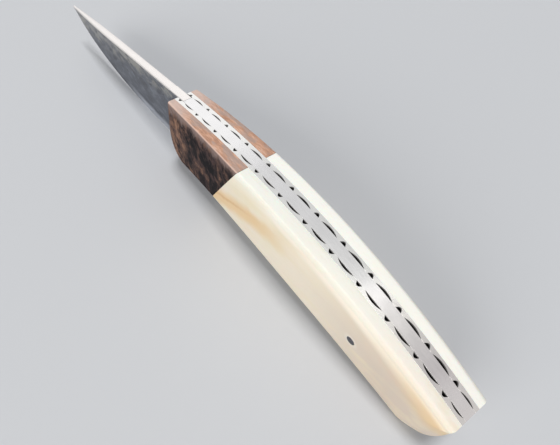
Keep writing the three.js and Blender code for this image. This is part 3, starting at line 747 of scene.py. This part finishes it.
def ivory():
    """Cream, tan towards the butt, with one amber streak behind the bolster, a warm band below
    the ridge at the butt, a pale ring round the pin, painted light on the top of the right side, and
    painted light and shade in the tones down from the spine."""
    look = Look("ivory", (0.85, 0.78, 0.64), 0.0, 0.34, Specular_IOR_Level=0.28,
                Subsurface_Weight=0.10, Subsurface_Scale=0.0015)
    depth = look.depth()
    along = look.along()
    share = look.times(depth, 1 / IVORY_RAMP_DEPTH)
    # The ivory's tones down from the spine, with painted light and shade
    front, middle, rear = (look.ramp(share, stops) for stops in (IVORY_FRONT, IVORY_MIDDLE, IVORY_REAR))
    body = look.mix(look.band(along, -60.0, -102.0), front, rear)
    halfway = look.times(look.band(along, -50.0, -66.0, 0.0, 0.85), look.band(along, -98.0, -84.0))
    body = look.mix(look.times(look.band(depth, 3.8, 2.2), halfway), body, middle)
    broad = look.noise(look.scaled((0.03, 0.30, 0.16), 6.0, 0.05), detail=4.0, roughness=0.5)
    body = look.mix(look.band(broad, 0.50, 0.72, 0.0, 0.5), body, IVORY_FIGURE)
    centre = look.math("MULTIPLY_ADD", along, 0.31, 26.1)
    slow = look.noise(look.point, scale=0.12)
    wave = look.math("MULTIPLY_ADD", slow, 4.0, depth)
    off = look.math("SUBTRACT", look.math("SUBTRACT", wave, 2.0), centre)
    streak = look.band(look.math("ABSOLUTE", off), 5.2, 1.0, 0.0, 0.9)
    streak = look.times(streak, look.band(along, -66.0, -44.0))
    body = look.mix(streak, body, IVORY_STREAK)
    vein = look.band(look.math("ABSOLUTE", look.math("ADD", off, 0.8)), 0.9, 0.1, 0.0, 0.55)
    body = look.mix(look.times(vein, look.band(along, -48.0, -32.0)), body, IVORY_VEIN)
    glow = look.times(look.band(depth, 0.8, 2.6), look.band(depth, 9.0, 3.0))
    warm = look.times(glow, look.band(along, -94.0, -112.0, 0.05, 0.85))
    body = look.mix(warm, body, IVORY_WARM)
    flat = look.add("VectorMath", {0: look.point, 1: (1, 0, 1)}, operation="MULTIPLY")
    pin = (SCALE_PIN[0], 0, SCALE_PIN[1])
    from_pin = look.add("VectorMath", {0: flat, 1: pin}, "Value", operation="DISTANCE")
    body = look.mix(look.band(from_pin, 2.6, 1.6, 0.0, 0.35), body, IVORY_PIN_RING)
    # Painted light: the top of the right side is paler
    right_painted_light = look.times(look.band(look.across(), 0.0, -0.1, 0.0, 0.75), look.band(depth, 0.6, 0.1))
    body = look.mix(right_painted_light, body, IVORY_RIGHT_PAINTED_LIGHT)
    fine = look.noise(look.scaled((0.12, 2.4, 2.0), 1.0, 0.2), detail=4.0, roughness=0.6)
    look.color(look.mix(look.band(fine, 0.48, 0.75, 0.0, 0.12), body, IVORY_FINE))
    look.rough(look.band(fine, 0.3, 0.7, 0.33, 0.41))
    look.bump(fine, strength=0.05, millimetres=0.03)
    return look.material


def pin_metal(name, dark, light, roughness):
    look = Look(name, light, 1.0, roughness)
    grain = look.noise(look.point, scale=1.8, detail=4.0, roughness=0.6)
    look.color(look.ramp(grain, ((0.35, dark), (0.7, light))))
    look.rough(look.band(grain, 0.3, 0.7, roughness - 0.05, roughness + 0.08))
    look.bump(grain, strength=0.1, millimetres=0.02)
    return look.material


SPRING_STEEL = brushed_steel("spring_satin", (0.86, 0.84, 0.844), (1.0, 0.98, 0.98), 0.20,
                             painted_reflection_zones=STRIP_PAINTED_REFLECTIONS, walls=True)
LINER_STEEL = brushed_steel("liner_satin", (0.85, 0.83, 0.812), (1.0, 0.985, 0.965), 0.21,
                            painted_reflection_zones=STRIP_PAINTED_REFLECTIONS)
BRIGHT_STEEL = brushed_steel("bright_steel", (0.80, 0.755, 0.725), (0.90, 0.845, 0.805), 0.26)
ETCHED_STEEL = etched_steel("etched_steel")
BEVEL_STEEL = etched_steel("bevel_steel", bevel=True)
FILEWORK_PAINTED_SHADE = filework_with_painted_shade()
BURL_WOOD = burl_wood()
IVORY = ivory()
PIN_STEEL = pin_metal("pin_steel", (0.06, 0.06, 0.075), (0.16, 0.16, 0.19), 0.38)
BRONZE = pin_metal("washer_bronze", (0.42, 0.28, 0.12), (0.62, 0.43, 0.20), 0.34)


# Sides of the handle

def side_body():
    """The whole left side outside its liner: square walls, a round ridge, a crown and a flat.
    The ridge grows rounder along the rear of the spine, and less round down the butt."""
    growth = np.interp(RIM_U, RIDGE_GROWS, (0, 1))
    along_spine = RIDGE_ROUND + (RIDGE_ROUND_REAR - RIDGE_ROUND) * growth
    radius = RIDGE_ROUND + (along_spine - RIDGE_ROUND) * np.interp(RIM_V, (0, RIDGE_FADES), (1, 0))
    rings = [ring(handle_outline(), LINER_OUTER)]
    for angle in np.linspace(0, math.pi / 2, 12)[:-1]:
        reach = 1 - math.cos(angle)
        outline = handle_outline(RIDGE_ROUND * reach, along_spine * reach)
        rings.append(ring(outline, ridge_half(outline[:, 0]) - radius * (1 - math.sin(angle))))
    for along in np.linspace(0, 1, 17):
        outline = handle_outline(RIDGE_ROUND + along * (CROWN_WIDTH - RIDGE_ROUND),
                                 along_spine + along * (CROWN_WIDTH - along_spine))
        low, high = ridge_half(outline[:, 0]), half_thickness(outline[:, 0])
        rings.append(ring(outline, low + (1 - (1 - along) ** 2) * (high - low)))
    return loft(rings)


def cut_at_joint(piece, ahead):
    """Keeps what lies ahead of the slanted joint, or behind it."""
    normal = Vector((math.cos(JOINT_SLANT), 0, math.sin(JOINT_SLANT)))
    sign = 1 if ahead else -1
    point = Vector((-JOINT_TOP, 0, 0)) + normal * sign * GLUE_LINE / 2
    mesh = bmesh.new()
    mesh.from_mesh(piece.data)
    everything = mesh.verts[:] + mesh.edges[:] + mesh.faces[:]
    bmesh.ops.bisect_plane(mesh, geom=everything, dist=CUT_TOLERANCE, plane_co=point,
                           plane_no=-normal * sign, clear_outer=True)
    rim = [edge for edge in mesh.edges if edge.is_boundary]
    bmesh.ops.contextual_create(mesh, geom=rim)
    bmesh.ops.recalc_face_normals(mesh, faces=mesh.faces)
    mesh.to_mesh(piece.data)
    mesh.free()


def make_sides():
    bolster = mesh_object("bolster_left_look", side_body(), [BURL_WOOD])
    cut_at_joint(bolster, True)
    holes = [bore(pin, BOLSTER_PIN_RADIUS + PIN_CLEARANCE, LINER_OUTER - OVERSHOOT,
                  BOLSTER_PIN_END + BOLSTER_PIN_SPARE, 32) for pin in BOLSTER_PINS]
    combine(bolster, joined(holes), "DIFFERENCE", [BURL_WOOD])
    scale = mesh_object("scale_left_look", side_body(), [IVORY])
    cut_at_joint(scale, False)
    hole = bore(SCALE_PIN, SCALE_PIN_RADIUS + PIN_CLEARANCE, 0, 2 * HALF_THICKNESS_REAR)
    combine(scale, hole, "DIFFERENCE", [IVORY])
    for left, part, slot in ((bolster, "bolster", "burl_wood"), (scale, "scale", "ivory")):
        right = mirrored_copy(left, f"{part}_right_look")
        finished(left, f"{part}_left", "handle")
        finished(right, f"{part}_right", "handle")


# Liners and their filework

def bite_outline(half_length, sag):
    """An arc that bites into the liner from its inner face: (along the spine, across)."""
    radius = (half_length ** 2 + sag ** 2) / (2 * sag)
    half_angle = math.asin(min(1, half_length / radius))
    inner = SPRING_HALF - FILEWORK_START
    points = [(half_length, inner), (-half_length, inner)]
    for angle in np.linspace(-half_angle, half_angle, CUT_STEPS + 1):
        points.append((radius * math.sin(angle), SPRING_HALF + sag - radius + radius * math.cos(angle)))
    return points


def notch_outline(radius):
    """A notch, drawn as bite_outline draws its arc, with sides that lean to a narrower top."""
    inner = SPRING_HALF - FILEWORK_START
    points = [(radius, inner), (-radius, inner)]
    for share in np.linspace(-1, 1, CUT_STEPS + 1):
        points.append((share * radius, SPRING_HALF + NOTCH_RISE * radius * (1 - share * share)))
    return points


def grown(sizes, distance):
    """The cuts are smaller at the front end than further back."""
    return float(np.interp(distance, (0, FILEWORK_GROWS), sizes))


def spine_cutter(distance, outline, arc, fine):
    """The outline set across the spine at that distance along it, and drawn out downwards."""
    u = np.interp(distance, arc, fine)
    at = spine(u)
    back = spine(u + TANGENT_STEP) - spine(u - TANGENT_STEP)
    back /= np.linalg.norm(back)
    up = np.array((back[1], -back[0]))
    rings = []
    for height in (-FILEWORK_DEPTH, OVERSHOOT):
        rings.append(np.array([
            (at[0] - back[0] * along + up[0] * height, across, at[1] - back[1] * along + up[1] * height)
            for along, across in outline
        ]))
    return loft(rings)


def filework_cutters():
    fine = np.linspace(0, 1, ARC_STEPS + 1)
    steps = np.linalg.norm(np.diff(spine(fine), axis=0), axis=1)
    arc = np.concatenate([[0], np.cumsum(steps)])
    tail = bite_outline(TAIL_LENGTH / 2, TAIL_SAG)
    cutters = [spine_cutter(arc[-1] - TAIL_END - TAIL_LENGTH / 2, tail, arc, fine)]
    last = arc[-1] - NOTCH_END
    for distance in np.arange(NOTCH_START, last, NOTCH_PITCH):
        radius = grown(NOTCH_RADIUS, distance)
        cutters.append(spine_cutter(distance, notch_outline(radius), arc, fine))
        if distance + NOTCH_PITCH <= last:
            half_length, sag = grown(CRESCENT_LENGTH, distance) / 2, grown(CRESCENT_SAG, distance)
            crescent = bite_outline(half_length, sag)
            cutters.append(spine_cutter(distance + NOTCH_PITCH / 2, crescent, arc, fine))
    return joined(cutters)


def make_liners():
    blank = plate(handle_outline(), SPRING_HALF, LINER_OUTER)
    left = mesh_object("liner_left_look", blank, [LINER_STEEL])
    through = [(PIVOT, PIVOT_RADIUS), (CENTER_PIN, SPRING_PIN_RADIUS), (REAR_PIN, SPRING_PIN_RADIUS),
               (SCALE_PIN, SCALE_PIN_RADIUS)] + [(pin, BOLSTER_PIN_RADIUS) for pin in BOLSTER_PINS]
    holes = [bore(at, radius + PIN_CLEARANCE, SPRING_HALF - OVERSHOOT, LINER_OUTER + OVERSHOOT)
             for at, radius in through]
    combine(left, joined(holes), "DIFFERENCE", [LINER_STEEL])
    seat = bore(PIVOT, WASHER_SEAT, SPRING_HALF - OVERSHOOT, SPRING_HALF + WASHER_SEAT_DEPTH, 64)
    combine(left, seat, "DIFFERENCE", [LINER_STEEL])
    combine(left, filework_cutters(), "DIFFERENCE", [FILEWORK_PAINTED_SHADE])
    right = mirrored_copy(left, "liner_right_look")
    finished(left, "liner_left", "handle")
    finished(right, "liner_right", "handle")


# Backspring

def natural_spline(points, count):
    """A smooth curve through the points, as Catmull-Rom pieces."""
    points = np.array(points, float)
    padded = np.concatenate([points[:1], points, points[-1:]])
    result = []
    for t in np.linspace(0, len(points) - 1, count):
        i = min(int(t), len(points) - 2)
        s = t - i
        a, b, c, d = padded[i:i + 4]
        result.append(0.5 * (2 * b + (c - a) * s + (2 * a - 5 * b + 4 * c - d) * s ** 2
                             + (3 * b - a - 3 * c + d) * s ** 3))
    return np.array(result)


def make_backspring():
    nose_x = -SHOULDER_SETBACK - SPRING_GAP
    top = spine(np.linspace(-nose_x / HANDLE_LENGTH, 1, 150))
    rear = butt(np.linspace(0, SPRING_REAR_SHARE, 12)[1:])
    flat_end = PIVOT[0] - TANG_CORNER_RADIUS
    underside = natural_spline([
        rear[-1],
        below_spine(REAR_PIN[0] - SPRING_PIN_RADIUS, SPRING_REAR_DEPTH),
        below_spine(REAR_PIN[0] + SPRING_SWELL_START, SPRING_MIDDLE_DEPTH + SPRING_PIN_RADIUS),
        below_spine((REAR_PIN[0] + CENTER_PIN[0]) / 2, SPRING_MIDDLE_DEPTH),
        below_spine(CENTER_PIN[0], SPRING_MIDDLE_DEPTH),
        below_spine((CENTER_PIN[0] + flat_end) / 2, SPRING_FRONT_DEPTH),
        (flat_end, -SPRING_NOSE_DEPTH),
    ], 100)[1:]
    outline = np.concatenate([top, rear, underside, [(nose_x, -SPRING_NOSE_DEPTH)]])
    spring = mesh_object("backspring_look", plate(outline, -SPRING_HALF, SPRING_HALF), [SPRING_STEEL])
    holes = [bore(pin, SPRING_PIN_RADIUS + PIN_CLEARANCE, -2 * SPRING_HALF, 2 * SPRING_HALF)
             for pin in (CENTER_PIN, REAR_PIN)]
    combine(spring, joined(holes), "DIFFERENCE", [SPRING_STEEL])
    finished(spring, "backspring", "handle")


# Blade

def smoothstep(value, low, high):
    share = min(1.0, max(0.0, (value - low) / (high - low)))
    return share * share * (3 - 2 * share)


def tang_radius(angle):
    """The tang is round about the pivot, with flats where it is open, half open and closed."""
    reach = [TANG_CORNER_RADIUS]
    for turn in (0, CLOSED_ANGLE / 2, CLOSED_ANGLE):
        cosine = math.cos(angle - math.pi / 2 - turn)
        if cosine > TANG_LEAST_COSINE:
            reach.append(TANG_FLAT / cosine)
    return min(reach)


def tang_outline():
    front = BLADE_HEEL - TANG_OVERLAP
    shoulder = (-SHOULDER_SETBACK, PIVOT[1] + TANG_FLAT)
    start = math.atan2(TANG_FLAT, shoulder[0] - PIVOT[0])
    end = math.pi / 2 + CLOSED_ANGLE + TANG_END
    points = [(x, 0.0) for x in np.linspace(front, shoulder[0], 6)]
    for angle in np.linspace(start, end, 120):
        radius = tang_radius(angle)
        points.append((PIVOT[0] + radius * math.cos(angle), PIVOT[1] + radius * math.sin(angle)))
    return points + [KICK, ((KICK[0] + CHOIL[0]) / 2, CHOIL[1] - CHOIL_SAG), (front, CHOIL[1])]


def spine_half(x):
    share = max(0.0, (x - TAPER_START) / (BLADE_LENGTH - TAPER_START))
    return BLADE_HALF + (TIP_THICKNESS / 2 - BLADE_HALF) * share ** TAPER_POWER


def grind_share(x, height_share):
    """How much of the grind is reached: 0 on the ricasso and 1 past the plunge line."""
    curve = min(1.0, height_share / PLUNGE_DEPTH_SHARE)
    start = PLUNGE_TOP + (PLUNGE_LOW - PLUNGE_TOP) * curve
    return smoothstep(x, start, start + PLUNGE_RUN)


def blade_section(x, low):
    half = spine_half(x)
    height = -low
    narrowing = min(1.0, max(0.0, (x - BLADE_HEEL) / BEVEL_NARROWS))
    bevel = BEVEL_HEIGHT + (BEVEL_TIP_HEIGHT - BEVEL_HEIGHT) * narrowing
    bevel_top = max(height - bevel, height * BEVEL_LEAST_SHARE)
    shoulder = (BEVEL_SHOULDER + (BEVEL_TIP_SHOULDER - BEVEL_SHOULDER) * narrowing) / 2
    rounding = min(SPINE_EDGE_ROUND, 0.5 * half, 0.2 * height)
    corner = SPINE_EDGE_CORNER * rounding
    side = [(half - rounding, 0.0), (half - corner, -corner)]
    for share in np.linspace(rounding / bevel_top, 1, FLAT_ROWS):
        grind = grind_share(x, share)
        side.append((half + (shoulder - half) * share * grind, -bevel_top * share))
    edge = BLADE_HALF + (EDGE_THICKNESS / 2 - BLADE_HALF) * grind_share(x, 1)
    side.append((min(edge, half), low))
    left = [(x, y, z) for y, z in side]
    right = [(x, -y, z) for y, z in reversed(side)]
    return np.array(left + right)


def section_materials():
    """Etched flats (0), a bright spine (1) and the bevel (2)."""
    flats = [0] * (FLAT_ROWS - 1)
    return [1, 1] + flats + [2, 2, 2] + flats + [1, 1, 1]


def make_blade():
    sections = [blade_section(x, CHOIL[1]) for x in np.linspace(0, PLUNGE_LOW, 4)]
    for x in np.linspace(PLUNGE_LOW, BLADE_HEEL, 24)[1:-1]:
        drop = smoothstep(x, CHOIL[0], BLADE_HEEL)
        sections.append(blade_section(x, CHOIL[1] + (-BLADE_HEIGHT - CHOIL[1]) * drop))
    edge = bezier(((BLADE_HEEL, -BLADE_HEIGHT), (BLADE_HEEL + EDGE_STRAIGHT, -BLADE_HEIGHT),
                   (BLADE_LENGTH - EDGE_TIP_RUN, -EDGE_TIP_DEPTH), (BLADE_LENGTH, -TIP_HEIGHT)),
                  np.linspace(0, 1, 110))
    sections += [blade_section(x, z) for x, z in edge]
    looks = [ETCHED_STEEL, BRIGHT_STEEL, BEVEL_STEEL]
    blade = mesh_object("blade_look", loft(sections, section_materials()), looks)
    tang = plate(tang_outline(), -BLADE_HALF, BLADE_HALF, TANG_EASE)
    combine(blade, tang, "UNION", [ETCHED_STEEL])
    hole = bore(PIVOT, PIVOT_RADIUS + PIN_CLEARANCE, -2 * BLADE_HALF, 2 * BLADE_HALF)
    combine(blade, hole, "DIFFERENCE", [ETCHED_STEEL])
    for face in blade.data.polygons:
        if face.center.z > -BRIGHT_SPINE_DEPTH and face.normal.z > BRIGHT_SPINE_TILT:
            face.material_index = 1
    finished(blade, "blade", "blade")


# Scale pins, and new looks for the pins and washers of the CAD

def make_scale_pins():
    face = half_thickness(SCALE_PIN[0]) + SCALE_PIN_PROUD
    rings = [(SCALE_PIN_RADIUS, PIN_INNER_END)]
    ease = SCALE_PIN_EASE
    for angle in np.linspace(0, math.pi / 2, 5)[:-1]:
        radius = SCALE_PIN_RADIUS - ease + ease * math.cos(angle)
        rings.append((radius, face - ease + ease * math.sin(angle)))
    shape = loft([ring(circle(SCALE_PIN, radius, 64), y) for radius, y in rings])
    left = mesh_object("scale_pin_left_look", shape, [PIN_STEEL])
    right = mirrored_copy(left, "scale_pin_right_look")
    finished(left, "scale_pin_left", "handle")
    finished(right, "scale_pin_right", "handle")


def repaint_nodes():
    for name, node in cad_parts.items():
        look = BRONZE if "washer" in name else PIN_STEEL if "pin" in name else None
        if look is None or name.startswith("scale_pin"):
            continue
        for slot in node.material_slots:
            slot.link = "OBJECT"
            slot.material = look


# Floor, light and camera

def make_floor():
    mesh = bpy.data.meshes.new("floor")
    rim = [(x, y, 0) for x, y in circle((0, 0), FLOOR_RADIUS, 128)]
    mesh.from_pydata(rim, [], [range(len(rim))])
    material = bpy.data.materials.new("floor")
    material.use_nodes = True
    shader = material.node_tree.nodes["Principled BSDF"]
    shader.inputs["Base Color"].default_value = (*FLOOR_COLOR, 1)
    shader.inputs["Roughness"].default_value = FLOOR_ROUGHNESS
    shader.inputs["Specular IOR Level"].default_value = FLOOR_SPECULAR
    mesh.materials.append(material)
    floor = bpy.data.objects.new("floor", mesh)
    bpy.context.scene.collection.objects.link(floor)


def aimed(place, target):
    return (Vector(target) - Vector(place)).to_track_quat("-Z", "Y").to_matrix().to_4x4()


def panel(name, direction, distance, size, radiance, color):
    """A soft panel of that brightness, facing the knife from that direction."""
    width, height = size
    light = bpy.data.lights.new(name, "AREA")
    light.shape = "RECTANGLE"
    light.size = width
    light.size_y = height
    light.energy = radiance * math.pi * width * height
    light.color = color
    place = Vector(direction).normalized() * distance
    lamp = bpy.data.objects.new(name, light)
    lamp.matrix_world = Matrix.Translation(place) @ aimed(place, LAMP_AIM)
    bpy.context.scene.collection.objects.link(lamp)


def make_light():
    for lamp in LAMPS:
        panel(*lamp)
    make_world()


def make_world():
    """Even light, and a backdrop that is seen directly and in metal."""
    world = bpy.data.worlds.new("studio")
    world.use_nodes = True
    tree = world.node_tree
    path = tree.nodes.new("ShaderNodeLightPath")
    seen = path.outputs["Is Camera Ray"]
    for ray in ("Is Glossy Ray", "Is Transmission Ray"):
        either = tree.nodes.new("ShaderNodeMath")
        either.operation = "MAXIMUM"
        tree.links.new(seen, either.inputs[0])
        tree.links.new(path.outputs[ray], either.inputs[1])
        seen = either.outputs[0]
    strength = tree.nodes.new("ShaderNodeMapRange")
    strength.inputs["To Min"].default_value = WORLD_LIGHT
    strength.inputs["To Max"].default_value = BACKDROP_LIGHT
    tree.links.new(seen, strength.inputs["Value"])
    background = tree.nodes["Background"]
    background.inputs["Color"].default_value = (*BACKDROP_COLOR, 1)
    tree.links.new(strength.outputs[0], background.inputs["Strength"])
    bpy.context.scene.world = world


def make_camera():
    camera = bpy.data.cameras.new("camera")
    camera.sensor_fit = "HORIZONTAL"
    camera.sensor_width = SENSOR_WIDTH
    camera.lens = FOCAL_PIXELS * SENSOR_WIDTH / PHOTO_WIDTH
    camera.shift_y = (AXIS_ROW - PHOTO_HEIGHT / 2) / PHOTO_WIDTH
    camera.clip_start = CLIP_START
    right = Vector(CAMERA_RIGHT).normalized()
    up = -Vector(CAMERA_DOWN).normalized()
    turn = Matrix((right, up, right.cross(up))).transposed()
    stance = Matrix.Rotation(STANCE, 3, "Y")
    holder = bpy.data.objects.new("camera", camera)
    holder.matrix_world = Matrix.Translation(PLACE @ Vector(CAMERA_PLACE)) @ (stance @ turn).to_4x4()
    bpy.context.scene.collection.objects.link(holder)
    bpy.context.scene.camera = holder


make_blade()
make_backspring()
make_liners()
make_sides()
make_scale_pins()
repaint_nodes()
make_floor()
make_light()
make_camera()
bpy.context.scene.view_settings.view_transform = "Standard"
